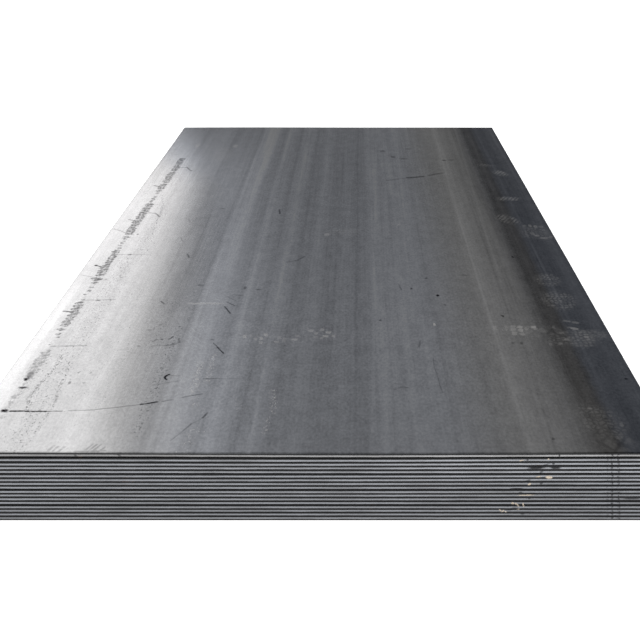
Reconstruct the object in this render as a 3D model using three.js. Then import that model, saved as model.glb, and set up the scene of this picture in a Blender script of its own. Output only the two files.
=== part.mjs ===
// A stack of hot-rolled steel plates, sheared to size and laid flush on one another.
// Millimetres, +Z up. X runs across the plates and Y along their rolling direction.
// The origin is the middle of the stack's outline, on the underside of the bottom plate.
// Every plate is a solid of its own, so one can be lifted off the stack and used alone.

import * as THREE from "three";

// The plates: five feet by ten feet, three eighths of an inch thick
const plateCount = 17;
const plateWidth = 1524;
const plateLength = 3048;
const plateThickness = 9.525;

// A sheared edge, from the top down: the blade first draws the arris over, then cuts a
// smooth upright land, and the rest of the thickness tears away and slants in under it
const rolloverHeight = 2.6;
const rolloverSetback = 1.2;
const rolloverSteps = 2;
const landHeight = 4.2;
const fractureSetback = 0.8;

// How the plates lie: a thin gap everywhere, which long shallow waves open a little more
const restGap = 0.1;
const waveGap = 0.1;
const waveAcross = 1900;
const waveAlong = 2600;

// Cut sizes and stacking are a little off, each way from the nominal outline
const cutTolerance = 0.8;
const stackingSlip = 0.9;

// Wide gaps, where a plate bows off the one below it. Each fades out over its reach.
const openGaps = [
  // along the front edge
  { under: 17, x: -762, y: -1524, reachX: 1400, reachY: 700, opening: 1.5 },
  { under: 16, x: -762, y: -1524, reachX: 1000, reachY: 600, opening: 1.2 },
  { under: 15, x: 762, y: -1524, reachX: 800, reachY: 600, opening: 1.6 },
  { under: 12, x: -450, y: -1524, reachX: 1000, reachY: 500, opening: 0.8 },
  { under: 10, x: 500, y: -1524, reachX: 700, reachY: 500, opening: 0.6 },
  { under: 6, x: 762, y: -1524, reachX: 700, reachY: 500, opening: 1.0 },
  { under: 5, x: -762, y: -1524, reachX: 600, reachY: 500, opening: 0.5 },
  // along the back edge
  { under: 17, x: -320, y: 1524, reachX: 900, reachY: 700, opening: 1.2 },
  { under: 14, x: 500, y: 1524, reachX: 700, reachY: 600, opening: 1.0 },
  { under: 9, x: -450, y: 1524, reachX: 600, reachY: 500, opening: 0.6 },
  // along the two long sides
  { under: 16, x: 762, y: -100, reachX: 350, reachY: 1100, opening: 1.2 },
  { under: 13, x: 762, y: 700, reachX: 300, reachY: 800, opening: 0.7 },
  { under: 8, x: 762, y: -600, reachX: 300, reachY: 700, opening: 0.6 },
  { under: 15, x: -762, y: 350, reachX: 350, reachY: 950, opening: 1.2 },
  { under: 11, x: -762, y: -400, reachX: 300, reachY: 700, opening: 0.6 },
];

// The net of each plate: columns across it and rows along it
const netColumns = 15;
const netRows = 8;
const undersideGroup = 5; // which of a box's six sides faces down

const scaledSteel = { color: 0x63676b, roughness: 0.42, metalness: 0.85 };

// Levels of the edge from the underside up, each with its height and its set-back from the land
function shearedSection() {
  const landTop = plateThickness - rolloverHeight;
  const levels = [
    { height: 0, setback: fractureSetback },
    { height: landTop - landHeight, setback: 0 },
    { height: landTop, setback: 0 },
  ];
  for (let step = 1; step <= rolloverSteps; step += 1) {
    const turn = (step / rolloverSteps) * (Math.PI / 2);
    levels.push({
      height: landTop + rolloverHeight * Math.sin(turn),
      setback: rolloverSetback * (1 - Math.cos(turn)),
    });
  }
  return levels;
}

// 1 in the middle, falling smoothly to 0 at a distance of 1 and past it
function bell(distance) {
  return Math.abs(distance) < 1 ? 0.5 + 0.5 * Math.cos(Math.PI * distance) : 0;
}

function gapUnder(plate, x, y) {
  const wave = Math.cos(2 * Math.PI * (x / waveAcross + y / waveAlong) + 2.4 * plate);
  let gap = restGap + waveGap * (0.5 + 0.5 * wave);
  for (const open of openGaps) {
    if (open.under === plate) {
      gap += open.opening * bell((x - open.x) / open.reachX) * bell((y - open.y) / open.reachY);
    }
  }
  return gap;
}

// Height of a plate's underside above the floor. The bottom plate lies flat on it.
function undersideHeight(plate, x, y) {
  let height = 0;
  for (let lower = 2; lower <= plate; lower += 1) {
    height += plateThickness + gapUnder(lower, x, y);
  }
  return height;
}

// Values from -1 to 1 that differ from plate to plate in no visible order
function offset(plate, step) {
  return 2 * ((plate * step) % 1) - 1;
}

// Splits the underside's squares along the same diagonals as the top's, so that bowed plates nest
function matchDiagonals(geometry) {
  const corners = geometry.index.array;
  const { start, count } = geometry.groups[undersideGroup];
  for (let i = start; i < start + count; i += 6) {
    const [a, b, , , c, d] = corners.slice(i, i + 6);
    corners.set([a, b, c, a, c, d], i);
  }
}

// A box whose levels are set back as the sheared edge is, and which follows the plates below
function plateGeometry(plate, section) {
  const width = plateWidth + cutTolerance * offset(plate, 0.4142);
  const length = plateLength + cutTolerance * offset(plate, 0.7321);
  const geometry = new THREE.BoxGeometry(1, 1, 1, netColumns, netRows, section.length - 1);
  matchDiagonals(geometry);
  const points = geometry.attributes.position;
  for (let i = 0; i < points.count; i += 1) {
    const level = section[Math.round((points.getZ(i) + 0.5) * (section.length - 1))];
    const x = points.getX(i) * (width - 2 * level.setback);
    const y = points.getY(i) * (length - 2 * level.setback);
    points.setXYZ(i, x, y, undersideHeight(plate, x, y) + level.height);
  }
  geometry.computeVertexNormals();
  return geometry;
}

function buildStack() {
  const stack = new THREE.Group();
  const section = shearedSection();
  for (let plate = 1; plate <= plateCount; plate += 1) {
    const mesh = new THREE.Mesh(
      plateGeometry(plate, section),
      new THREE.MeshStandardMaterial(scaledSteel),
    );
    mesh.name = `plate_${String(plate).padStart(2, "0")}`;
    mesh.position.x = stackingSlip * offset(plate, 0.618);
    mesh.position.y = stackingSlip * offset(plate, 0.7549);
    stack.add(mesh);
  }
  return stack;
}

// The stack's outline is centred on the origin
const stack = buildStack();
const outline = new THREE.Box3().setFromObject(stack);
stack.position.x = -(outline.min.x + outline.max.x) / 2;
stack.position.y = -(outline.min.y + outline.max.y) / 2;

export default stack;
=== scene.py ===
import math
import bpy
import numpy as np
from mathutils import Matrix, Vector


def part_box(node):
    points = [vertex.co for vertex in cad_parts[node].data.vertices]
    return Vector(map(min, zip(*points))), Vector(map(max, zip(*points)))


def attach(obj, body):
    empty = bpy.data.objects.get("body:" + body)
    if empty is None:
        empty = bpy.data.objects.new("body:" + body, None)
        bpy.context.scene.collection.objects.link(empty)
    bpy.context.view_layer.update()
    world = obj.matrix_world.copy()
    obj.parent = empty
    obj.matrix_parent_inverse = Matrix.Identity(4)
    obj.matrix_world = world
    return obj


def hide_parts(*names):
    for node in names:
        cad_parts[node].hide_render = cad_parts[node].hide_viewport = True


# Stack of hot-rolled steel plates: every plate gets a finely shaped sheared edge and its finish.
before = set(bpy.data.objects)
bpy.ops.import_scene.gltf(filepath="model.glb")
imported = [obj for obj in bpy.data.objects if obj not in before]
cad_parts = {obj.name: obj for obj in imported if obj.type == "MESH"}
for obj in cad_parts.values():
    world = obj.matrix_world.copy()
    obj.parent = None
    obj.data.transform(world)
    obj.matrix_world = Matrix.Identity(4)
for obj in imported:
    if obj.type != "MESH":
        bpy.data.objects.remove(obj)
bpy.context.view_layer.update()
plateNodes = sorted(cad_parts)
print("frame loaded:", len(plateNodes), "plates")


def onlySelect(thing):
    bpy.ops.object.select_all(action="DESELECT")
    thing.select_set(True)
    bpy.context.view_layer.objects.active = thing


def editMesh(thing):
    onlySelect(thing)
    bpy.ops.object.mode_set(mode="EDIT")
    bpy.ops.mesh.select_all(action="DESELECT")


def leaveMesh():
    bpy.ops.object.mode_set(mode="OBJECT")


def takeAll():
    bpy.ops.mesh.select_all(action="SELECT")


# Points of a mesh as rows of x, y, z
def pointsOf(mesh):
    points = np.zeros(len(mesh.vertices) * 3, np.float32)
    mesh.vertices.foreach_get("co", points)
    return points.reshape(-1, 3).astype(float)


def setPoints(mesh, points):
    mesh.vertices.foreach_set("co", points.astype(np.float32).ravel())
    mesh.update()


# Node helpers add to the target's tree; an input is a value or another node's output
target = {}


def addNode(kind, inputs=(), **settings):
    made = target["tree"].nodes.new(kind)
    for name, value in settings.items():
        setattr(made, name, value)
    for name, value in dict(inputs).items():
        feed(made.inputs[name], value)
    return made


def feed(socket, value):
    if isinstance(value, bpy.types.NodeSocket):
        target["tree"].links.new(value, socket)
    else:
        socket.default_value = (*value, 1) if socket.type == "RGBA" else value


def calc(operation, *values):
    return addNode("ShaderNodeMath", dict(enumerate(values)), operation=operation).outputs[0]


# Product of two values, to which a third one may be added
def times(first, second, *added):
    return calc("MULTIPLY_ADD" if added else "MULTIPLY", first, second, *added)


# A value about a half moved to lie about zero
def centered(value):
    return calc("SUBTRACT", value, 0.5)


# What a share leaves of the whole
def restOf(share):
    return calc("SUBTRACT", 1.0, share)


def vectorCalc(operation, *values):
    made = addNode("ShaderNodeVectorMath", dict(enumerate(values)), operation=operation)
    return made.outputs["Value" if operation in ("LENGTH", "DISTANCE", "DOT_PRODUCT") else "Vector"]


def flatPlace(first, second):
    return addNode("ShaderNodeCombineXYZ", {"X": first, "Y": second}).outputs[0]


# The three numbers of a vector
def axes(vector):
    parts = addNode("ShaderNodeSeparateXYZ", {"Vector": vector})
    return [parts.outputs[name] for name in "XYZ"]


# A value moved from one range to another, held at its ends
def remap(value, fromLow, fromHigh, low=0.0, high=1.0):
    inputs = {"Value": value, "From Min": fromLow, "From Max": fromHigh, "To Min": low, "To Max": high}
    made = addNode("ShaderNodeMapRange", inputs, interpolation_type="SMOOTHSTEP", clamp=False)
    return made.outputs["Result"]


def blendColor(share, first, second):
    made = addNode("ShaderNodeMix", data_type="RGBA")
    for slot, value in ((0, share), (6, first), (7, second)):
        feed(made.inputs[slot], value)
    return made.outputs[2]


def blendValue(share, first, second):
    return addNode("ShaderNodeMix", {"Factor": share, "A": first, "B": second}).outputs["Result"]


def tint(color, strength):
    return addNode("ShaderNodeVectorMath", {0: color, "Scale": strength}, operation="SCALE").outputs[0]


def stretched(vector, scale, location=(0, 0, 0)):
    inputs = {"Vector": vector, "Scale": scale, "Location": location}
    return addNode("ShaderNodeMapping", inputs).outputs[0]


# Noise with so many cells in a metre, all round or in each direction
def noise(vector, scale, detail=2.0, roughness=0.5):
    if isinstance(scale, tuple):
        vector, scale = stretched(vector, scale), 1.0
    inputs = {"Vector": vector, "Scale": scale, "Detail": detail, "Roughness": roughness}
    return addNode("ShaderNodeTexNoise", inputs).outputs["Fac"]


# A place pushed about by noise, so that what is drawn on it gets ragged
def shaken(vector, scale, reach):
    shift = addNode("ShaderNodeTexNoise", {"Vector": vector, "Scale": scale, "Detail": 3.0})
    shift = vectorCalc("SUBTRACT", shift.outputs["Color"], (0.5, 0.5, 0.5))
    return vectorCalc("MULTIPLY_ADD", shift, reach, vector)


def bumped(height, strength, distance):
    inputs = {"Height": height, "Strength": strength, "Distance": distance}
    return addNode("ShaderNodeBump", inputs).outputs[0]


def newMaterial(name):
    made = bpy.data.materials.new(name)
    made.use_nodes = True
    made.node_tree.nodes.clear()
    target["tree"] = made.node_tree
    return made


def finishMaterial(inputs):
    surface = addNode("ShaderNodeBsdfPrincipled", inputs)
    addNode("ShaderNodeOutputMaterial", {"Surface": surface.outputs[0]})


cameraSet = {
    "place": (0.0878, -3.2654, 1.2428),
    "tiltDown": math.radians(23.872),
    "lens": 54.75,
    "sensor": 36.0,
    "shift": -0.0563,
}


def addCamera(settings):
    turn = (math.pi / 2 - settings["tiltDown"], 0, 0)
    bpy.ops.object.camera_add(location=settings["place"], rotation=turn)
    camera = bpy.context.object
    camera.data.lens = settings["lens"]
    camera.data.sensor_width = settings["sensor"]
    camera.data.shift_x = settings["shift"]
    bpy.context.scene.camera = camera


studio = {
    "floorSize": 60.0,
    "floorColor": (0.8, 0.8, 0.8),
    "floorGlow": 0.85,
    "white": (1.0, 1.0, 1.0),
    "level": (0.285, 0.665),     # light near the horizon and overhead,
    "rise": (9.0, 29.0),         # at these heights in degrees
    "leftGain": (1.15, 0.80),    # how much it grows to the left, low down and higher up,
    "leftRise": (14.8, 17.5),
    "leftFrom": (-3.0, -14.0),   # from straight behind round to the left,
    "leftEnd": (-90.0, -45.0),   # as far as here
}
doorway = {
    "foot": (13.7, 14.5),        # bright opening far behind on the left: where it begins above the horizon
    "edge": -9.25,               # its edge, in degrees from straight behind, near its foot
    "edgeFoot": 14.8,
    "edgeLean": -0.56,           # how it leans out as it rises,
    "edgeHead": 27.3,            # up to this height,
    "edgeRound": 2.0,            # and how it is rounded off below its foot
    "edgeWidth": (0.25, 0.170),  # half width of the edge at the foot, and how it grows softer
    "outerGain": 0.15,           # how much brighter it is further in,
    "outerFrom": (1.5, 4.0),     # from so many half widths past the edge
    "farSide": (-75.0, -45.0),
    "strength": (1.90, 2.40),    # at its foot and from its brightest height on
    "strengthRise": (15.0, 20.5),
    "fade": (29.0, 52.0),
}


def addFloor(settings):
    bpy.ops.mesh.primitive_plane_add(size=settings["floorSize"], location=(0, 0, 0))
    floor = bpy.context.object
    floor.name = "studioFloor"
    material = newMaterial("paleFloor")
    finishMaterial({"Base Color": settings["floorColor"], "Roughness": 0.9, "Specular IOR Level": 0.0,
                    "Emission Color": settings["white"], "Emission Strength": settings["floorGlow"]})
    floor.data.materials.append(material)


# Light of the bright opening, from the direction's turn and height in degrees
def doorwayLight(side, rise, shape):
    above = calc("SUBTRACT", calc("MINIMUM", rise, shape["edgeHead"]), shape["edgeFoot"])
    over = calc("MAXIMUM", above, 0.0)
    edge = times(over, shape["edgeLean"], shape["edge"])
    edge = times(calc("MINIMUM", above, 0.0), shape["edgeRound"], edge)
    width = times(over, shape["edgeWidth"][1], shape["edgeWidth"][0])
    past = calc("DIVIDE", calc("SUBTRACT", edge, side), width)
    across = times(remap(past, *shape["outerFrom"]), shape["outerGain"], remap(past, -1.0, 1.0))
    across = times(across, remap(side, *shape["farSide"]))
    up = times(remap(rise, *shape["strengthRise"], *shape["strength"]), remap(rise, *shape["foot"]))
    up = times(up, remap(rise, *shape["fade"], 1.0, 0.0))
    return times(across, up)


# Soft light all round that grows overhead, with the bright opening far behind on the left
def addStudioLight(settings):
    world = bpy.data.worlds.new("softStudio")
    bpy.context.scene.world = world
    world.use_nodes = True
    world.node_tree.nodes.clear()
    target["tree"] = world.node_tree
    right, back, up = axes(addNode("ShaderNodeTexCoord").outputs["Generated"])
    side = calc("DEGREES", calc("ARCTAN2", right, back))
    rise = calc("DEGREES", calc("ARCSINE", up))
    level = remap(rise, *settings["rise"], *settings["level"])
    left = times(remap(side, *settings["leftFrom"]), remap(side, *settings["leftEnd"]))
    left = times(left, remap(rise, *doorway["foot"]))
    gain = remap(rise, *settings["leftRise"], *settings["leftGain"])
    level = times(left, gain, level)
    level = calc("ADD", level, doorwayLight(side, rise, doorway))
    soft = addNode("ShaderNodeBackground", {"Color": settings["white"], "Strength": level})
    pale = addNode("ShaderNodeBackground", {"Color": settings["white"], "Strength": 1.0})
    seen = addNode("ShaderNodeLightPath").outputs["Is Camera Ray"]
    mixed = addNode("ShaderNodeMixShader", {0: seen, 1: soft.outputs[0], 2: pale.outputs[0]})
    addNode("ShaderNodeOutputWorld", {"Surface": mixed.outputs[0]})


addCamera(cameraSet)
addFloor(studio)
addStudioLight(studio)
bpy.context.scene.view_settings.view_transform = "Standard"
print("camera, floor and light ready")

# One flat plate, modelled to the size of the bottom node
bottomLow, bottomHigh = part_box(plateNodes[0])
plateShape = {
    "width": bottomHigh.x - bottomLow.x,
    "length": bottomHigh.y - bottomLow.y,
    "thickness": bottomHigh.z - bottomLow.z,
    "cells": (30, 60),           # net of the flat faces
    "rim": 0.0015,               # flat strip inside the arris
    "edgeCuts": 6,               # extra points along each cell at the edge
    "rolloverHeight": 0.0026,    # drawn-over upper arris
    "rolloverSetback": 0.0012,
    "rolloverSteps": 4,
    "landHeight": 0.0039,        # smooth upright band
    "tearSetback": 0.0008,       # torn band, which slants in below the land
    "tearSteps": 3,
    "tearCurve": 0.8,            # below 1, most of its slant lies near the land
    "burrHeight": 0.0004,
    "burrReach": 0.0002,
    "landDrop": (-0.0009, 0.0004),   # shift of the land in the lowest and in the uppermost plate
    "smoothAngle": math.radians(36),
}
near = 0.00002                   # two heights closer than this are one level
landTop = plateShape["thickness"] - plateShape["rolloverHeight"]
landFoot = landTop - plateShape["landHeight"]


# Levels of the edge from the top down: height and set-back from the land
def edgeLevels(shape):
    levels = []
    for step in range(shape["rolloverSteps"], 0, -1):
        turn = step / shape["rolloverSteps"] * math.pi / 2
        levels.append((landTop + shape["rolloverHeight"] * math.sin(turn),
                       shape["rolloverSetback"] * (1 - math.cos(turn))))
    levels += [(landTop, 0.0), ((landTop + landFoot) / 2, 0.0), (landFoot, 0.0)]
    for step in range(1, shape["tearSteps"] + 1):
        share = step / shape["tearSteps"]
        height = landFoot + (shape["burrHeight"] - landFoot) * share
        levels.append((height, shape["tearSetback"] * share ** shape["tearCurve"]))
    levels.append((0.0, shape["tearSetback"] - shape["burrReach"]))
    return levels


def modelPlate(shape):
    width, length, thickness = shape["width"], shape["length"], shape["thickness"]
    columns, rows = shape["cells"]
    bpy.ops.object.select_all(action="DESELECT")
    bpy.ops.mesh.primitive_grid_add(x_subdivisions=columns, y_subdivisions=rows, size=1,
                                    location=(0, 0, thickness))
    plate = bpy.context.object
    plate.name = "plateMaster"
    plate.scale = (width, length, 1)
    bpy.ops.object.transform_apply(location=True, rotation=True, scale=True)
    editMesh(plate)
    takeAll()
    bpy.ops.mesh.inset(thickness=shape["rim"], use_boundary=True)
    takeAll()
    bpy.ops.mesh.region_to_loop()
    bpy.ops.mesh.subdivide(number_cuts=shape["edgeCuts"])
    takeAll()
    bpy.ops.mesh.extrude_region_move(TRANSFORM_OT_translate={"value": (0, 0, -thickness)})
    levels = edgeLevels(shape)
    for height, _ in levels[1:-1]:
        takeAll()
        bpy.ops.mesh.bisect(plane_co=(0, 0, height), plane_no=(0, 0, 1))
    takeAll()
    bpy.ops.mesh.normals_make_consistent(inside=False)
    leaveMesh()
    for height, setback in levels:
        drawIn(plate, height, setback, shape)
    sharpenFoot(plate)
    bpy.ops.object.shade_smooth_by_angle(angle=shape["smoothAngle"])
    rememberLevels(plate)
    return plate


# Draws one level of the plate in from the land, equally on all four sides
def drawIn(plate, height, setback, shape):
    editMesh(plate)
    leaveMesh()
    for vertex in plate.data.vertices:
        vertex.select = abs(vertex.co.z - height) < near
    bpy.ops.object.mode_set(mode="EDIT")
    bpy.ops.transform.resize(value=(1 - 2 * setback / shape["width"], 1 - 2 * setback / shape["length"], 1),
                             center_override=(0, 0, 0))
    leaveMesh()


# The land ends below in a crisp line, where the metal began to tear
def sharpenFoot(plate):
    editMesh(plate)
    leaveMesh()
    points = plate.data.vertices
    for edge in plate.data.edges:
        edge.select = all(abs(points[end].co.z - landFoot) < near for end in edge.vertices)
    bpy.ops.object.mode_set(mode="EDIT")
    bpy.ops.mesh.select_mode(type="EDGE")
    bpy.ops.mesh.mark_sharp()
    bpy.ops.mesh.select_mode(type="VERT")
    leaveMesh()


# Keeps each point's height in the plate for the finish, and groups of points for the relief
def rememberLevels(plate):
    heights = pointsOf(plate.data)[:, 2]
    kept = plate.data.attributes.new("edgeHeight", "FLOAT", "POINT")
    kept.data.foreach_set("value", heights.astype(np.float32))
    groups = {name: plate.vertex_groups.new(name=name) for name in ("foot", "tear", "arris")}
    insideTop = plateShape["thickness"] - near
    for point, height in enumerate(heights):
        if near < height <= landFoot + near:
            groups["foot"].add([point], height / landFoot, "REPLACE")
        if near < height < landFoot - near:
            groups["tear"].add([point], 1.0, "REPLACE")
        if landTop + near < height < insideTop:
            groups["arris"].add([point], 1.0, "REPLACE")


relief = {
    # group: strength, grain size, level of no change, direction
    "foot": (0.0011, 0.05, 0.5, "Z"),
    "tear": (0.0006, 0.009, 0.9, "NORMAL"),
    "arris": (0.0004, 0.06, 0.9, "NORMAL"),
}


# Uneven relief of the cut, taken from clouds that lie in another place for each plate
def roughenEdge(piece, place):
    bpy.ops.object.empty_add(location=(0.37 * place, 0.91 * place, 0.13 * place))
    marker = bpy.context.object
    onlySelect(piece)
    for group, (strength, grain, level, direction) in relief.items():
        clouds = bpy.data.textures.new(group + "Clouds", "CLOUDS")
        clouds.noise_scale = grain
        clouds.noise_depth = 2
        change = piece.modifiers.new(group, "DISPLACE")
        change.texture = clouds
        change.texture_coords = "OBJECT"
        change.texture_coords_object = marker
        change.vertex_group = group
        change.strength = strength
        change.mid_level = level
        change.direction = direction
        bpy.ops.object.modifier_apply(modifier=group)
    bpy.data.objects.remove(marker)
    piece.vertex_groups.clear()


# Height of a node's underside over a net of its own columns and rows
def undersideNet(node):
    points = pointsOf(node.data)
    under = np.zeros(len(points), bool)
    for face in node.data.polygons:
        if face.normal.z < -0.9:
            under[list(face.vertices)] = True
    points = np.unique(points[under].round(5), axis=0)
    across, along = np.unique(points[:, 0]), np.unique(points[:, 1])
    net = np.zeros((len(across), len(along)))
    net[np.searchsorted(across, points[:, 0]), np.searchsorted(along, points[:, 1])] = points[:, 2]
    return across, along, net


# Smooth curve through evenly spaced rows of heights, read at places given in row steps
def readSmooth(rows, places):
    ends = np.vstack([2 * rows[0] - rows[1], rows, 2 * rows[-1] - rows[-2]])
    step = np.clip(places.astype(int), 0, len(rows) - 2)
    part = np.clip(places - step, 0, 1)
    before, first, second, after = (ends[step + k, np.arange(len(step))] for k in range(4))
    return first + 0.5 * part * (second - before + part * (
        2 * before - 5 * first + 4 * second - after + part * (3 * (first - second) + after - before)))


def heightsOn(across, along, net, x, y):
    column = (x - across[0]) / (across[-1] - across[0]) * (len(across) - 1)
    row = (y - along[0]) / (along[-1] - along[0]) * (len(along) - 1)
    steps = np.arange(len(along))
    lines = np.array([readSmooth(np.repeat(net[:, [k]], len(x), axis=1), column) for k in steps])
    return readSmooth(lines, row)


# Fits a copy of the flat plate to its node: same outline, same slip and same bow
def layPlate(node, place):
    piece = bpy.data.objects.new(node.name + "_sheared", master.data.copy())
    bpy.context.scene.collection.objects.link(piece)
    for group in master.vertex_groups:
        piece.vertex_groups.new(name=group.name)
    roughenEdge(piece, place)
    low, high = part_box(node.name)
    points = pointsOf(piece.data)
    lowest, uppermost = plateShape["landDrop"]
    drop = lowest + (uppermost - lowest) * (place - 1) / (len(plateNodes) - 1)
    turns = (0, plateShape["burrHeight"], landFoot, landTop, plateShape["thickness"])
    points[:, 2] -= np.interp(points[:, 2], turns, (0, 0, drop, drop, 0))
    for k, side in enumerate(("width", "length")):
        points[:, k] = points[:, k] * (high[k] - low[k]) / plateShape[side] + (high[k] + low[k]) / 2
    points[:, 2] += heightsOn(*undersideNet(node), points[:, 0], points[:, 1])
    setPoints(piece.data, points)
    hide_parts(node.name)
    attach(piece, "root")
    return piece


scaleFinish = {
    "tone": (0.15, 0.157, 0.167),
    "roughness": 0.14,
    "roughnessSpread": 0.1,
    "streaks": (
        # cells in a metre across, along and up, and share
        ((9, 0.1, 21), 0.07), ((46, 0.2, 40), 0.09), ((170, 0.9, 60), 0.08), ((520, 4, 90), 0.08),
    ),
    "grain": ((150, 90, 60), 0.62),      # cells in a metre, and share
    "mottle": ((34, 20, 20), 0.3),
    "bump": (0.15, 0.0002),      # strength and depth
}


# Lengthwise streaks that rolling leaves in the scale, from broad ones to hairlines
def rollingStreaks(place):
    total = 0.0
    for cells, share in scaleFinish["streaks"]:
        total = times(centered(noise(place, cells, 2, 0.55)), share, total)
    return total


# Tone of the scale, 1 on average, and its grain for the bump
def scaleTone(place, streaks, grainGain=1.0):
    grain = noise(place, scaleFinish["grain"][0], 3, 0.7)
    mottle = noise(place, scaleFinish["mottle"][0], 3, 0.6)
    granular = times(centered(grain), scaleFinish["grain"][1])
    granular = times(centered(mottle), scaleFinish["mottle"][1], granular)
    tone = times(streaks, 2.0, 1.0)
    return times(granular, grainGain, tone), grain


def millScale():
    material = newMaterial("millScale")
    place = addNode("ShaderNodeTexCoord").outputs["Object"]
    streaks = rollingStreaks(place)
    tone, grain = scaleTone(place, streaks)
    rough = times(streaks, -scaleFinish["roughnessSpread"], scaleFinish["roughness"])
    bump = bumped(grain, *scaleFinish["bump"])
    finishMaterial({"Base Color": tint(scaleFinish["tone"], tone), "Roughness": rough,
                    "Metallic": 1.0, "Normal": bump})
    return material


def metres(millimetres):
    return [value / 1000 for value in millimetres]


edgeFinish = {
    "land": (0.288, 0.298, 0.319),
    "landDull": (0.223, 0.229, 0.242),
    "landScored": (0.143, 0.147, 0.156),
    "landWarm": (1.035, 1.0, 0.945),   # tint of the uppermost plate's land,
    "warmFrom": 0.157,           # which lies above this height
    "landGain": (0.2, (0.04, 0.3), (0.09, 0.13)),   # lighter land, to the right and in the upper plates
    "striae": (900, 900, 60),    # cells in a metre of the land's fine upright lines
    "patches": (8, 8, 60),
    "torn": (0.0148, 0.0138, 0.016),
    "tornLight": (0.038, 0.0365, 0.0395),
    "drawn": (0.02, 0.021, 0.023),
    "rust": (0.06, 0.032, 0.018),
    "mortar": (0.66, 0.57, 0.46),
    "soot": (0.01, 0.01, 0.012),
    "bump": (0.5, 0.0003),
    "stackTop": 0.164,
    "front": (-1.50, -1.51),     # the marks are only on the cut in front of this
    "wander": 0.0009,            # how far the land's rims wander
    "roughness": {"torn": 0.75, "land": (0.26, 0.4), "drawn": 0.6, "marked": 0.85},
    "metal": (0.25, 0.7),        # of the torn band, and how much more the land has
}
# The lists of marks and streaks on the steel are in millimetres, all else in metres
paintedGapShades = (
    # heights of a torn band on the front, where it changes across the plate, and its tone there: painted
    # shade where the gap between two plates opens, lighter where they touch
    ((153, 159), (-300, -20), 0.05),
    ((153, 159), (-380, -580), 2.6),
    ((143, 149), (-80, -380), 0.3),
    ((124, 139.5), (440, 620), 0.45),
    ((76, 101), (520, 660), 0.5),
    ((46, 53), (-200, -420), 0.5),
)
bladeNicks = (
    # place across at the foot and at the top of the stack, width and depth of a nick in all plates
    (639.5, 621.5, 3.4, 0.75),
    (653.5, 635, 4, 0.6),
    (629, 612, 2.4, 0.35),
)
mortarFlecks = (
    # place across and height of a fleck on the front, half its sizes, turn in degrees
    (494.5, 109.5, 7.8, 4.2, -12), (472, 111.5, 6, 1.2, 10), (433.5, 151.3, 5, 1.2, 15),
    (454.5, 92.1, 4, 2.4, 40), (449, 64.8, 18, 1.2, 2), (422.5, 44, 2.6, 3, 60), (429, 42.5, 2.2, 2.6, 0),
    (433, 39.5, 4, 1.4, -40), (445.2, 40.5, 1.4, 4.8, 10), (396.5, 26.2, 4, 1.4, -50),
    (402.5, 24.2, 4, 1.4, 50), (408.5, 22.5, 2.2, 1.4, -30), (489.7, 154.5, 1.6, 1.6, 0),
    (435, 29, 3, 1, 20),
)
sootMarks = (
    # the same for dark smears and nicks, with their depth
    (467, 133.5, 20, 4.2, 4, 0.95), (506, 133.5, 12, 4, -4, 0.9), (501, 144, 3, 3, 0, 0.7),
    (477.6, 122.5, 4, 3, 30, 0.5), (479.7, 94.6, 4, 3, 30, 0.6), (451.7, 102, 6, 2, 10, 0.5),
    (436.9, 72, 5, 2.4, 0, 0.6), (457.1, 56.8, 4, 3, 20, 0.5), (421, 30, 14, 4, 14, 0.55),
    (444.9, 17.3, 5, 3, 0, 0.6), (512, 162.3, 1.6, 3, 0, 0.8), (446, 152.6, 3, 2, 0, 0.6),
    (-496.9, 162, 5, 2.4, -40, 0.5), (-407.1, 163.5, 7, 1.8, -30, 0.55), (462, 136.5, 24, 1.8, 3, 0.9),
    (428, 81.5, 16, 1.6, 2, 0.85), (675, 56, 20, 2.2, 0, 0.7), (484, 140.5, 11, 1.4, 20, 0.6),
)


# Place inside an oval, in its half sizes and turned by some degrees
def ovalPlace(flat, across, along, halfAcross, halfAlong, turn=0):
    across, along, halfAcross, halfAlong = metres((across, along, halfAcross, halfAlong))
    if not turn:
        return vectorCalc("MULTIPLY_ADD", flat, (1 / halfAcross, 1 / halfAlong, 0),
                          (-across / halfAcross, -along / halfAlong, 0))
    offset = vectorCalc("SUBTRACT", flat, (across, along, 0))
    side, up = math.cos(math.radians(turn)), math.sin(math.radians(turn))
    first = vectorCalc("DOT_PRODUCT", offset, (side / halfAcross, up / halfAcross, 0))
    second = vectorCalc("DOT_PRODUCT", offset, (-up / halfAlong, side / halfAlong, 0))
    return flatPlace(first, second)


# Share of an oval mark, or of a squarer block, between two distances from its middle in half sizes
def ovalMark(flat, oval, outer, inner, squarer=False, depth=1.0):
    local = ovalPlace(flat, *oval)
    if squarer:
        local = vectorCalc("MULTIPLY", local, local)
    return remap(vectorCalc("LENGTH", local), outer, inner, 0.0, depth)


# Shares of the cut at the front that are hidden by flecks of mortar and by soot
def frontMarks(place):
    across, along, height = axes(place)
    face = flatPlace(across, height)
    loose = shaken(face, 260, (0.004, 0.002, 0))
    mortar = 0.0
    for oval in mortarFlecks:
        mortar = calc("MAXIMUM", mortar, ovalMark(loose, oval, 1.2, 0.7))
    soot = 0.0
    for *oval, depth in sootMarks:
        soot = calc("MAXIMUM", soot, ovalMark(loose, oval, 1.2, 0.5, depth=depth))
    shaky = axes(shaken(face, 150, (0.008, 0, 0)))[0]
    broken = remap(noise(face, 190, 2, 0.6), 0.42, 0.58)
    for *row, depth in bladeNicks:
        foot, top, width = metres(row)
        line = times(height, (top - foot) / edgeFinish["stackTop"], foot)
        away = calc("ABSOLUTE", calc("SUBTRACT", shaky, line))
        nick = times(remap(away, width, width * 0.3, 0.0, depth), broken)
        soot = calc("MAXIMUM", soot, nick)
    front = remap(along, *edgeFinish["front"])
    return times(mortar, front), times(soot, front)
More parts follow.
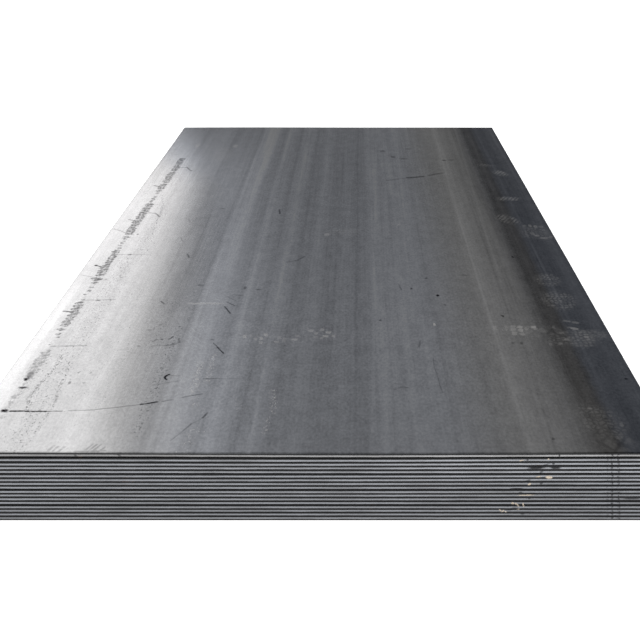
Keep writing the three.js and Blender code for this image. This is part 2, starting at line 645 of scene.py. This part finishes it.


# Painted shade on the torn bands: darker where two plates part, lighter where they touch, and unevenly
# darker or lighter along each gap
def paintedGapShade(place):
    across, _, height = axes(place)
    uneven = noise(place, (1.6, 1.6, 110), 2, 0.6)
    tone = remap(uneven, 0.4, 0.62, 0.4, 1.3)
    for band, change, factor in paintedGapShades:
        low, high = metres(band)
        inBand = times(calc("GREATER_THAN", height, low), calc("LESS_THAN", height, high))
        share = times(inBand, remap(across, *metres(change)))
        tone = times(tone, times(share, factor - 1.0, 1.0))
    return tone


def shearedEdge(look):
    material = newMaterial("shearedEdge")
    place = addNode("ShaderNodeTexCoord").outputs["Object"]
    height = addNode("ShaderNodeAttribute", attribute_name="edgeHeight").outputs["Fac"]
    wander = times(centered(noise(place, 110, 3, 0.6)), look["wander"])
    level = calc("ADD", height, wander)
    landShare = times(remap(level, landFoot - 0.0002, landFoot + 0.0003),
                      remap(level, landTop + 0.0004, landTop - 0.0002))
    topShare = remap(level, landTop + 0.0002, landTop + 0.0008)
    striae = noise(place, look["striae"], 2, 0.6)
    patches = noise(place, look["patches"], 4, 0.6)
    land = blendColor(remap(patches, 0.42, 0.66), look["land"], look["landDull"])
    land = blendColor(times(striae, 0.4), land, look["landScored"])
    across, _, rise = axes(place)
    gain, toRight, upward = look["landGain"]
    # the land is lighter towards the right and in the upper plates
    gradedShare = times(remap(across, *toRight), remap(rise, *upward))
    land = tint(land, times(gradedShare, gain, 1.0))
    warm = vectorCalc("MULTIPLY", land, look["landWarm"])
    land = blendColor(calc("GREATER_THAN", rise, look["warmFrom"]), land, warm)
    granules = noise(place, 900, 3, 0.7)
    torn = blendColor(remap(granules, 0.45, 0.7), look["torn"], look["tornLight"])
    rusty = remap(noise(place, 22, 4, 0.65), 0.6, 0.74)
    torn = blendColor(times(rusty, 0.5), torn, look["rust"])
    # the torn bands carry the painted shade of the gaps between plates
    color = blendColor(landShare, tint(torn, paintedGapShade(place)), land)
    color = blendColor(topShare, color, look["drawn"])
    mortar, soot = frontMarks(place)
    color = blendColor(soot, color, look["soot"])
    color = blendColor(mortar, color, look["mortar"])
    dull = look["roughness"]
    rough = blendValue(landShare, dull["torn"], remap(striae, 0.3, 0.7, *dull["land"]))
    rough = blendValue(topShare, rough, dull["drawn"])
    covered = calc("MAXIMUM", mortar, soot)
    rough = blendValue(covered, rough, dull["marked"])
    metal = times(landShare, look["metal"][1], look["metal"][0])
    metal = times(metal, restOf(covered))
    heightMap = blendValue(landShare, granules, times(striae, 0.3))
    bump = bumped(heightMap, *look["bump"])
    finishMaterial({"Base Color": color, "Roughness": rough, "Metallic": metal, "Normal": bump})
    return material


# The open face of the top plate
openFinish = {
    "namedStreaks": (
        # place across, half the width, how much lighter or darker
        (-628, 8, -0.03), (-540, 28, 0.04), (-472, 28, -0.07), (-396, 9, 0.05), (-388, 60, -0.02),
        (-352, 9, 0.06), (-336, 9, -0.05), (-320, 28, 0.16), (-260, 11, -0.05), (-228, 11, 0.08),
        (-176, 9, -0.1), (-172, 90, 0.06), (-136, 9, 0.13), (-120, 9, 0.04), (-92, 11, -0.05),
        (-40, 20, 0.07), (20, 28, -0.03), (112, 20, -0.03), (152, 15, 0.09), (216, 90, 0.11),
        (220, 11, 0.06), (272, 9, 0.04), (336, 28, 0.04), (396, 20, -0.03), (468, 20, 0.09), (536, 9, 0.07),
        (544, 40, -0.14), (608, 9, -0.05), (644, 9, -0.05), (740, 20, 0.09),
    ),
    "partStreaks": (
        # the same, and where it begins, is full, begins to end and has ended
        (-305, 24, 0.26, (200, 1500, 3000, 4000)), (-415, 45, -0.1, (-1100, -500, 100, 400)),
        (-150, 45, -0.1, (-4000, -3000, -1200, -700)), (-745, 40, 0.16, (-4000, -3000, -900, -400)),
        (-470, 60, 0.06, (-4000, -3000, -1200, -600)), (680, 50, -0.12, (-4000, -3000, -1500, -1200)),
    ),
    "fineStreaks": (
        # place across, lean per metre, how much lighter or darker
        (-230, 0, 0.03), (-137, 0, 0.03), (-46, 0.008, 0.042), (155, 0.022, 0.05), (258, 0.018, 0.03),
        (312, 0.014, 0.034), (460, 0.003, 0.055), (537, 0.024, 0.066), (578, 0.007, 0.03), (670, 0, 0.05),
        (740, 0, 0.03), (56, 0.026, 0.042), (-352, 0, 0.042), (-392, 0.022, 0.034), (-369, 0, -0.05),
        (-248, 0, -0.03), (92, 0.004, -0.06), (178, 0.004, -0.04), (118, 0.003, -0.02), (518, 0.006, -0.05),
        (644, 0, -0.03), (-6, 0.003, -0.036), (-168, 0, -0.024), (-440, -0.01, -0.03), (28, 0.006, -0.034),
        (-486, 0, -0.024),
    ),
    "fineWidth": 0.0042,         # half of it
    "leftDark": (-0.58, -0.47, 0.925, 1.0),   # how much darker it is at the left edge
    "neutralTo": (-0.56, -0.30),   # the scale is neutral at the left edge and turns bluish here,
    "blueLean": 0.1,             # sooner towards the back end,
    "blueAhead": (0.4, 1.2, 0.05, 0.25),
    "brownFrom": (0.26, 0.46),   # brownish from here,
    "darkFrom": (0.548, 0.618),  # and then comes a dark strip,
    "blueFrom": (0.632, 0.664),  # which turns blue towards the edge
    "bluish": (0.1742, 0.18, 0.194),
    "neutral": (0.17, 0.1694, 0.1702),
    "brownish": (0.166, 0.166, 0.168),
    "darkStrip": (0.08, 0.078, 0.076),
    "darkBlue": (0.076, 0.081, 0.092),
    "rim": (0.97, 0.986, 1.03),
    "neutralRim": (1.0, 0.992, 0.996),
    "brownRim": (0.985, 0.985, 0.985),
    "oil": (0.006, 0.006, 0.007),
    "dust": (0.36, 0.35, 0.34),
    "halfSize": (0.762, 1.524),
    "rimWidth": (0.003, 0.010),  # dark line inside the arris, along the sides and along the ends
    "rimDepth": 0.45,
    "drift": ((3, 0.8, 0), 0.012),         # slow wandering of streaks and tones: cells in a metre, reach
    "fray": ((70, 16, 0), 0.022, 0.008),   # the same for their ragged rims, the tones' and the streaks'
    "streakFade": (30, 1.1, 0),
    "grainAcross": ((-0.55, -0.15, 0.70, 1.25), (0.35, 0.60, 1.0, 0.70)),   # where the grain is stronger
    "grainAlong": (-1.1, -0.4, 1.05, 0.85),
    "streaksAcross": (-0.6, -0.25, 0.7, 1.0),
    "roughness": (0.12, -0.08, 0.28, 0.3),   # of the scale, change on streaks, in the strip, gain in dust
    "rimLevels": (0.85, 0.7, -0.33),   # glancing tint, how it follows the tone, change in the strip
}


def streakShare(across, place, halfWidth):
    away = calc("ABSOLUTE", calc("SUBTRACT", across, place))
    return remap(away, halfWidth * 1.5, halfWidth * 0.3)


def namedStreaks(across, along, fade):
    total = 0.0
    for *row, lift in openFinish["namedStreaks"]:
        total = times(streakShare(across, *metres(row)), lift, total)
    for *row, lift, span in openFinish["partStreaks"]:
        begin, full, last, end = metres(span)
        share = times(remap(along, begin, full), remap(along, end, last))
        share = times(share, streakShare(across, *metres(row)))
        total = times(share, lift, total)
    for place, lean, lift in openFinish["fineStreaks"]:
        middle = times(along, lean, place / 1000)
        share = streakShare(across, middle, openFinish["fineWidth"])
        total = times(share, lift, total)
    return times(total, fade)


# How far a place lies from a straight line between two points
def awayFrom(flat, start, end):
    run = (end[0] - start[0], end[1] - start[1], 0)
    reach = run[0] ** 2 + run[1] ** 2
    offset = vectorCalc("SUBTRACT", flat, (*start, 0))
    along = vectorCalc("DOT_PRODUCT", offset, (run[0] / reach, run[1] / reach, 0))
    share = calc("MINIMUM", calc("MAXIMUM", along, 0.0), 1.0)
    return vectorCalc("DISTANCE", offset, tint(run, share))


# Share of a mark along a row of points: 1 on its line and 0 past half its width
def lineMark(flat, points, width, depth=1.0):
    away = None
    for start, end in zip(points, points[1:]):
        leg = awayFrom(flat, metres(start), metres(end))
        away = leg if away is None else calc("MINIMUM", away, leg)
    return remap(away, *metres((width * 0.65, width * 0.1)), 0.0, depth)


darkLines = (
    # width, depth of tone, points
    # the long scratch near the front
    (7.5, 0.95, (-692, -1341), (-611, -1343)), (6, 0.5, (-606, -1343), (-575, -1341)),
    (5.5, 0.42, (-560, -1339), (-505, -1335), (-450, -1322), (-404, -1309)),
    (8, 0.88, (-404, -1309), (-370, -1298)), (6, 0.4, (-358, -1294), (-335, -1286)),
    (6, 0.42, (-315, -1274), (-272, -1257)),
    # the hook and its tails
    (6.6, 0.92, (-366, -1158), (-371, -1163), (-374, -1172), (-372, -1180), (-368, -1184)),
    (5, 0.3, (-362, -1163), (-341, -1165)), (6, 0.28, (-341, -1192), (-366, -1202), (-388, -1212)),
    # slashes
    (3.5, 0.55, (-283, -976), (-268, -1004)), (5.2, 0.8, (-268, -1004), (-249, -1038)),
    (6, 0.65, (-246, -1349), (-254, -1371)), (4, 0.22, (-256, -1374), (-275, -1398)),
    (5, 0.45, (-275, -1398), (-288, -1428)), (4, 0.28, (-288, -1428), (-308, -1470)),
    (6, 0.3, (-278, -1258), (-312, -1276)), (5, 0.46, (-280, -1180), (-250, -1179)),
    (5, 0.26, (-250, -1179), (-190, -1181)), (6, 0.28, (-285, -662), (-258, -690)),
    (6, 0.22, (-270, -645), (-240, -655)), (5, 0.45, (-283, -700), (-256, -728)),
    (6, 0.62, (-283, -735), (-262, -782)), (7, 0.45, (-470, -695), (-458, -716)),
    # short curved strokes
    (7, 0.48, (-442, -968), (-434, -955)), (7, 0.6, (-403, -953), (-397, -945), (-395, -937)),
    (8, 0.38, (-377, -950), (-372, -975), (-385, -987), (-402, -993)),
    (6, 0.26, (-402, -993), (-437, -994)), (8, 0.45, (-194, 178), (-189, 125)),
    (6, 0.2, (-512, 65), (-500, 30)), (6, 0.24, (-505, -140), (-494, -175)),
    (8, 0.34, (-458, -300), (-446, -335)), (9, 0.3, (-130, -375), (-98, -360), (-78, -325)),
    # the oblique scratch towards the back
    (16, 0.2, (215, 570), (290, 602)), (22, 0.46, (300, 608), (362, 626)),
    (18, 0.35, (390, 645), (445, 680)),
    # faint strokes right of the middle
    (8, 0.24, (178, -1236), (195, -1222), (210, -1226)),
    (3.5, 0.26, (282, -1069), (281, -1119), (285, -1158)),
    (3.5, 0.3, (285, -1165), (287, -1213), (291, -1250)), (6, 0.3, (256, -960), (250, -1000)),
    (6, 0.3, (215, -565), (222, -610)),
    # ticks across and beside the oily line
    (6.5, 0.26, (-676, -308), (-595, -306)), (6.5, 0.26, (-690, -689), (-605, -683)),
    (6.5, 0.3, (-700, -998), (-610, -992)), (8, 0.65, (-720, -412), (-700, -424)),
    (9, 0.7, (-728, -768), (-702, -776)), (9, 0.42, (-722, 55), (-690, 35)),
    (9, 0.5, (-715, 490), (-685, 470)), (8, 0.24, (-752, -50), (-735, -62), (-705, -90)),
    (7, 0.18, (-752, -490), (-705, -512)), (9, 0.45, (-668, 132), (-642, 130), (-620, 90)),
    (10, 0.35, (-655, 766), (-630, 770), (-602, 712)),
    (6, 0.2, (-663, -1200), (-668, -1262), (-674, -1280), (-662, -1310)),
    (8, 0.22, (-606, -1270), (-603, -1300)),
    # gouges on the front arris
    (8, 0.26, (-557, -1514), (-551, -1492)), (6, 0.3, (-547, -1514), (-541, -1496)),
    (8, 0.34, (-534, -1514), (-527, -1497)), (6, 0.3, (-482, -1516), (-470, -1486)),
    (6, 0.36, (-473, -1516), (-461, -1486)), (6, 0.32, (-464, -1516), (-452, -1486)),
    (6, 0.34, (-452, -1516), (-441, -1498)), (8, 0.3, (-500, -1516), (-438, -1512)),
)
darkSpots = (
    # place across and along, half sizes, depth of tone
    (-642, -308, 8, 6, 0.6), (-652, -689, 8, 6, 0.6), (-662, -997, 8, 6, 0.38), (-705, -1341, 9, 8, 0.95),
    (-702.5, -1162, 10, 30, 0.55), (-705, -1180, 6.5, 12, 0.98), (-700, -1227, 13, 6, 0.75),
    (-705, -1275, 8, 10, 0.32), (-702, -1300, 7, 6, 0.28), (-726, -407, 6, 6, 0.75),
    (-693, -524, 11, 12, 0.6), (208, 1050, 14, 20, 0.34), (326, 1090, 20, 12, 0.24),
    (250, 945, 13, 12, 0.44), (296, 915, 20, 14, 0.28), (470, 888, 12, 10, 0.5), (503, 893, 18, 9, 0.3),
    (-405, 190, 9, 8, 0.32), (-375, -572, 12, 7, 0.32), (-240, -592, 6, 12, 0.35), (-200, -607, 9, 6, 0.28),
    (590, -330, 4, 8, 0.5), (325, -653, 5, 7, 0.9), (300, -515, 5, 7, 0.6), (252, -598, 4, 8, 0.5),
    (340, -722, 4, 7, 0.45), (493, -801, 5, 8, 0.6), (155, -832, 4, 6, 0.45), (420, -490, 18, 9, 0.22),
    (738, -1180, 6, 4, 0.7), (510, -1462, 4, 5, 0.5), (-421, -955, 5, 6, 0.52), (518, -978, 5, 8, 0.35),
    (496, -978, 5, 8, 0.28), (-288, -958, 6, 5, 0.4), (-388, -1126, 4, 8, 0.26), (-376, -1135, 4, 7, 0.26),
    (-465, -896, 6, 6, 0.3), (-454, -886, 3, 10, 0.26), (-442, -862, 4, 6, 0.3), (-472, -997, 6, 6, 0.28),
    (-436, -996, 6, 6, 0.26), (-560, -1150, 4, 6, 0.42), (-588, -1145, 4, 7, 0.36),
    (-596, -1203, 4, 7, 0.45), (-562, -1200, 5, 5, 0.26), (-658, -107, 5, 8, 0.4), (-668, -528, 5, 6, 0.36),
)
speckRows = (
    # width, how dense the specks are, points
    (50, 1.1, (-388, -860), (-388, -1440)), (130, 0.8, (-440, -700), (-430, -1020)),
    (30, 0.8, (-498, -980), (-496, -1340)), (120, 0.5, (-400, -150), (-400, -700)),
    (140, 0.5, (-560, -500), (-540, -1450)), (110, 0.9, (-640, -350), (-635, -1480)),
    (100, 0.8, (-650, 780), (-622, 250)), (100, 0.9, (-622, 250), (-610, -350)),
    (18, 1.3, (-660, 360), (-636, 250), (-622, 120), (-617, -20), (-606, -120)),
    (20, 1.2, (-640, -340), (-632, -480), (-626, -560)), (40, 0.8, (-390, -580), (-368, -860)),
    (40, 0.8, (-735, 780), (-730, 350)),
    (24, 1.5, (-658, -1050), (-652, -1120), (-663, -1200), (-668, -1262), (-655, -1340)),
    (24, 1.3, (-622, -1090), (-612, -1220), (-605, -1335), (-607, -1440)),
    (50, 1.1, (-690, -1060), (-700, -1330)), (80, 1.1, (-640, -1350), (-625, -1500)),
    (90, 0.7, (-530, 100), (-480, 60)),
)
oilyLine = {
    "start": (-0.671, 0.935),    # back end
    "lean": (-0.033, -0.004),    # how far it leans out by the front, and bows on the way
    "length": 2.3,
    "ends": ((0.95, 0.91), (-1.42, -1.34)),
    "wobble": (4, 30, 1),        # cells in a metre of what makes it wander,
    "beads": (24, 58, 1),        # of its beads
    "rope": (120, 62, 1),        # and of its frayed rims
    "strands": (0.019, 62),      # width of the slanting strands and their lean in degrees
    "halfWidth": 0.0044,         # of the thin beads between the dashes
    "dashes": (
        # back end, front end, half width
        (930, 706, 10.5), (694, 532, 11), (516, 440, 11), (430, 402, 7), (250, -112, 11.5),
        (-126, -146, 10), (-262, -400, 8.8), (-400, -500, 11.5), (-512, -538, 11.5), (-546, -562, 9.5),
        (-700, -872, 9.5), (-884, -900, 8), (-1030, -1150, 10.5),
    ),
    "depth": (0.10, 0.42),       # of its tone, from thin film to full drops
    "fadeFrom": (-0.90, -1.05),  # it is paler in front of this
    "pale": 0.7,
}


# Waves across a direction that leans from the plate's length by some degrees
def slantedWave(flat, width, lean):
    beat = math.pi / width
    across = (math.cos(math.radians(lean)) * beat, -math.sin(math.radians(lean)) * beat, 0)
    return calc("ABSOLUTE", calc("SINE", vectorCalc("DOT_PRODUCT", flat, across)))


# Dashed line of dark oil that a roller left along the left edge
def oilyMark(across, along, flat):
    left, back = oilyLine["start"]
    lean, bow = oilyLine["lean"]
    share = calc("DIVIDE", calc("SUBTRACT", back, along), oilyLine["length"])
    bowed = times(times(share, restOf(share)), 4.0)
    middle = times(share, lean, left)
    middle = times(bowed, bow, middle)
    wobble = noise(flat, oilyLine["wobble"], 3, 0.6)
    middle = times(centered(wobble), 0.016, middle)
    beads = noise(flat, oilyLine["beads"], 3, 0.6)
    half = times(remap(beads, 0.44, 0.6), oilyLine["halfWidth"])
    for dash in oilyLine["dashes"]:
        back, front, halfWidth = metres(dash)
        inside = times(remap(along, back + 0.006, back - 0.006), remap(along, front - 0.006, front + 0.006))
        full = remap(beads, 0.25, 0.6, halfWidth * 0.8, halfWidth * 1.1)
        half = calc("MAXIMUM", half, times(inside, full))
    away = calc("ABSOLUTE", calc("SUBTRACT", across, middle))
    rope = noise(flat, oilyLine["rope"], 3, 0.7)
    away = times(centered(rope), 0.018, away)
    strands = slantedWave(flat, *oilyLine["strands"])
    away = times(strands, -0.004, away)
    line = remap(calc("SUBTRACT", away, half), 0.002, -0.003)
    backEnd, frontEnd = oilyLine["ends"]
    ends = times(remap(along, *backEnd), remap(along, *frontEnd))
    strength = remap(rope, 0.62, 0.42, *oilyLine["depth"])
    pale = remap(along, *oilyLine["fadeFrom"], 1.0, oilyLine["pale"])
    strength = times(strength, pale)
    strength = times(strength, remap(strands, 0.1, 0.7, 0.6, 1.15))
    line = times(line, remap(half, 0.001, 0.004))
    return times(times(line, ends), strength)


# Fine specks that lie in rows along the plate
def lyingSpecks(loose, rows, location, strength):
    specks = noise(stretched(loose, (210, 120, 1), location), 1, 3, 0.7)
    dense = 0.0
    for width, density, *points in rows:
        dense = calc("MAXIMUM", dense, lineMark(loose, points, width, density))
    above = calc("SUBTRACT", specks, times(dense, -0.12, 0.68))
    dots = times(remap(above, 0.0, 0.07), remap(dense, 0.0, 0.2))
    return times(dots, strength)


# Share of scratches, specks and oil
def darkMarks(across, along, flat):
    loose = shaken(flat, 70, (0.004, 0.006, 0))
    ragged = shaken(flat, 90, (0.01, 0.016, 0))
    uneven = remap(noise(flat, 90, 2, 0.6), 0.3, 0.55, 0.45, 0.9)
    total = lyingSpecks(loose, speckRows, (0, 0, 0), 0.52)
    for width, depth, *points in darkLines:
        total = calc("MAXIMUM", total, lineMark(loose, points, width, depth))
    for *oval, depth in darkSpots:
        total = calc("MAXIMUM", total, ovalMark(ragged, oval, 1.3, 0.4, depth=depth))
    total = times(total, uneven)
    return calc("MAXIMUM", total, oilyMark(across, along, flat))


solePrints = (
    # place across and along, half sizes, turn in degrees, pattern, strength of the pattern and of its film
    (676, -950, 44, 56, 0, "scales", 0.14, 0.09), (716, -925, 40, 32, 0, "scales", 0.08, 0.07),
    (612, -960, 26, 36, 0, "scales", 0.12, 0), (520, -895, 48, 38, 0, "scales", 0.07, 0),
    (630, -1385, 50, 85, 10, "scales", 0.1, 0.03), (640, -1480, 44, 40, 0, "net", -0.1, 0.1),
    (665, -530, 40, 50, 0, "scales", 0.17, 0.04), (670, -690, 48, 70, 0, "scales", 0.18, 0.04),
    (630, 55, 32, 60, 20, "bars", 0.22, 0.02), (668, 310, 42, 30, 0, "bars", 0.26, 0.03),
    (686, 675, 26, 48, 20, "bars", 0.28, 0.03), (636, 805, 34, 20, -30, "bars", 0.12, 0.03),
    (45, -80, 55, 40, 0, "bars", 0.1, 0.01), (702, -85, 58, 74, 14, "scales", 0.14, 0.03),
    (580, -905, 62, 34, 0, "net", -0.11, 0.11), (-505, 980, 45, 130, 0, "scales", 0, 0.09),
)
dustRows = (
    # width, how dense the light specks are, points
    (32, 1.4, (-299, -1090), (-296, -1240)), (26, 1.4, (-272, -1050), (-268, -1200)),
    (30, 1.1, (-293, -1240), (-280, -1320)), (60, 0.9, (-262, -1430), (-280, -1515)),
    (26, 1.3, (-106, -1240), (-98, -1350)), (20, 1.3, (-106, -1370), (-112, -1440)),
    (30, 0.8, (-195, -1270), (-178, -1330)), (60, 0.7, (455, -880), (580, -890)),
)
lightBlocks = (
    # place across and along, half sizes, turn in degrees, strength
    (511, -872, 7, 8, -8, 0.38), (508, -892, 7, 10, -8, 0.5), (508, -917, 7, 12, -8, 0.48),
    (529, -876, 8, 9, -20, 0.66), (528, -897, 7, 10, -10, 0.58), (529, -921, 7, 8, 0, 0.42),
    (547, -882, 6, 12, -15, 0.24), (566, -876, 7, 8, 0, 0.64), (568, -888, 6, 6, 0, 0.28),
    (492, -872, 4, 8, 0, 0.26), (491, -890, 4, 10, 0, 0.22), (461, -880, 4, 14, 0, 0.34),
    (640, -955, 6, 8, 0, 0.36), (635, -915, 6, 7, 0, 0.24), (617, -982, 6, 7, 0, 0.26),
    (592, -983, 4, 8, 0, 0.22), (620, -877, 4, 10, 0, 0.22), (663, -837, 10, 6, -25, 0.3),
    (684, -847, 10, 7, -20, 0.3), (674, -887, 10, 6, -25, 0.55), (661, -880, 6, 6, 0, 0.3),
    (-206, -937, 5, 9, 10, 0.6), (-189, -932, 3, 9, 0, 0.26), (-172, -933, 3, 10, 10, 0.22),
    (-161, -948, 5, 9, 15, 0.55), (-151, -925, 6, 10, 10, 0.56), (-175, -952, 4, 10, 20, 0.34),
    (-160, -975, 5, 9, 20, 0.38), (-120, -970, 8, 6, 0, 0.4), (-114, -942, 5, 10, 0, 0.24),
    (-100, -957, 5, 14, 0, 0.24), (-73, -955, 8, 7, 0, 0.54), (-67, -932, 6, 6, 0, 0.3),
    (-32, -900, 8, 8, 0, 0.42), (-18, -916, 5, 9, 0, 0.44), (-3, -893, 6, 9, 0, 0.42),
    (15, -910, 7, 7, 0, 0.6), (7, -934, 8, 7, 0, 0.66), (28, -933, 5, 9, 0, 0.46),
    (-2, -947, 4, 7, 0, 0.36), (-20, -940, 6, 6, 0, 0.28), (677, -15, 6, 10, 0, 0.24),
    (697, -16, 6, 14, 0, 0.3), (714, -23, 6, 14, 0, 0.3), (734, -27, 7, 10, 0, 0.22),
    (692, -100, 7, 10, 10, 0.26), (702, -122, 9, 9, 30, 0.3), (723, -147, 13, 10, -10, 0.28),
    (747, -137, 6, 14, -20, 0.2), (617, -1328, 6, 5, 0, 0.26), (672, -1403, 4, 8, 0, 0.22),
    (-640, 1150, 10, 26, 0, 0.4), (-466, 1143, 10, 26, 0, 0.36), (-12, -107, 9, 14, 0, 0.4),
    (300, -857, 3, 8, 0, 1.1), (-340, -712, 52, 6, 0, 0.38), (237, 2, 5, 13, -10, 0.4),
    (216, 6, 4, 14, 0, 0.18), (-298, -1126, 3, 6, 0, 0.34), (-291, -1213, 4, 10, 0, 0.3),
    (-296, -1248, 5, 7, 0, 0.34),
)
tread = {
    "scale": (78, 60, 1),        # cells in a metre of the fine pattern
    "net": (0.036, 34),          # width of the lattice's diamonds and their lean in degrees
    "bars": (0.014, 26),         # the same for the slanting bars
    "blockGain": 0.62,           # how strongly the single blocks show
}


# The three patterns that soles left in the dust
def treadPatterns(flat):
    inputs = {"Vector": stretched(flat, tread["scale"]), "Scale": 1.0, "Randomness": 0.7}
    cells = addNode("ShaderNodeTexVoronoi", inputs, feature="DISTANCE_TO_EDGE",
                    voronoi_dimensions="2D").outputs["Distance"]
    width, lean = tread["net"]
    lattice = calc("MINIMUM", slantedWave(flat, width, lean), slantedWave(flat, width, -lean))
    return {"scales": remap(cells, 0.06, 0.26), "net": remap(lattice, 0.62, 0.12),
            "bars": remap(slantedWave(flat, *tread["bars"]), 0.3, 0.8)}


def dustyPrints(flat, loose):
    gradedShare = remap(noise(flat, 34, 3, 0.65), 0.36, 0.6, 0.25, 1)
    patterns = treadPatterns(loose)
    total = 0.0
    for *oval, pattern, strength, film in solePrints:
        share = times(patterns[pattern], strength, film)
        total = times(ovalMark(loose, oval, 1.25, 0.65), share, total)
    total = times(total, gradedShare)
    for *oval, strength in lightBlocks:
        block = ovalMark(loose, oval, 1.5, 0.45, True, strength * tread["blockGain"])
        total = calc("ADD", total, block)
    return calc("MAXIMUM", total, lyingSpecks(loose, dustRows, (-0.4, 0.3, 0), 0.42))


# Share of the dark line inside the plate's arris
def rimShade(across, along):
    shade = 0.0
    for reach, value, width in zip(openFinish["halfSize"], (across, along), openFinish["rimWidth"]):
        inward = calc("SUBTRACT", reach, calc("ABSOLUTE", value))
        shade = calc("MAXIMUM", shade, remap(inward, width, width * 0.4))
    return shade


def openFace(look):
    material = newMaterial("openFace")
    place = addNode("ShaderNodeTexCoord").outputs["Object"]
    across, along, _ = axes(place)
    flat = flatPlace(across, along)
    drift = noise(place, look["drift"][0])
    fray = noise(place, look["fray"][0], 3, 0.65)
    drifted = times(centered(drift), look["drift"][1], across)
    frayed = times(centered(fray), look["fray"][1], drifted)
    leaning = times(along, look["blueLean"], frayed)
    bluer = calc("ADD", leaning, remap(along, *look["blueAhead"]))
    bluer = remap(bluer, *look["neutralTo"])
    color = blendColor(bluer, look["neutral"], look["bluish"])
    browner = remap(frayed, *look["brownFrom"])
    color = blendColor(browner, color, look["brownish"])
    dark = blendColor(remap(frayed, *look["blueFrom"]), look["darkStrip"], look["darkBlue"])
    inStrip = remap(frayed, *look["darkFrom"])
    color = blendColor(inStrip, color, dark)
    streaks = rollingStreaks(place)
    fromLeft, toRight = look["grainAcross"]
    grainGain = times(remap(across, *fromLeft), remap(across, *toRight))
    grainGain = times(grainGain, remap(along, *look["grainAlong"]))
    streaks = times(streaks, remap(across, *look["streaksAcross"]))
    tone, grain = scaleTone(place, streaks, grainGain)
    fade = remap(noise(place, look["streakFade"]), 0.35, 0.6, 0.6, 1.2)
    slightly = times(centered(fray), look["fray"][2], drifted)
    tone = calc("ADD", tone, namedStreaks(slightly, along, fade))
    tone = times(rimShade(across, along), -look["rimDepth"], tone)
    oily = darkMarks(across, along, flat)
    clean = restOf(oily)
    prints = dustyPrints(flat, shaken(flat, 85, (0.009, 0.01, 0)))
    dusty = times(prints, clean)
    color = tint(color, times(tone, remap(drifted, *look["leftDark"])))
    color = blendColor(dusty, color, look["dust"])
    color = blendColor(oily, color, look["oil"])
    smooth, onStreaks, inDark, onDust = look["roughness"]
    rough = times(streaks, onStreaks, smooth)
    rough = blendValue(inStrip, rough, inDark)
    rough = times(dusty, onDust, rough)
    level, follow, inDark = look["rimLevels"]
    rim = times(calc("SUBTRACT", tone, 1.0), follow, level)
    rim = times(times(inStrip, inDark, rim), clean)
    rimColor = blendColor(bluer, look["neutralRim"], look["rim"])
    browner = times(browner, restOf(inStrip))
    rimColor = blendColor(browner, rimColor, look["brownRim"])
    bump = bumped(grain, *scaleFinish["bump"])
    finishMaterial({"Base Color": color, "Roughness": rough, "Metallic": restOf(dusty),
                    "Specular Tint": tint(rimColor, rim), "Normal": bump})
    return material


# Flat faces take the first finish and the cut edge the second
def finishPlate(plate, *finishes):
    for finish in finishes:
        plate.data.materials.append(finish)
    for face in plate.data.polygons:
        face.material_index = 1 if near < face.center.z < plateShape["thickness"] - near else 0


# The top plate's upper face is the only one that lies open
def openUp(plate):
    plate.data.materials.append(openFace(openFinish))
    for face in plate.data.polygons:
        if face.material_index == 0 and face.normal.z > 0:
            face.material_index = 2


master = modelPlate(plateShape)
finishPlate(master, millScale(), shearedEdge(edgeFinish))
print("flat plate modelled:", len(master.data.polygons), "faces")
plates = [layPlate(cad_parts[name], place) for place, name in enumerate(plateNodes, start=1)]
openUp(plates[-1])
bpy.data.objects.remove(master)
print("plates laid:", len(plates))
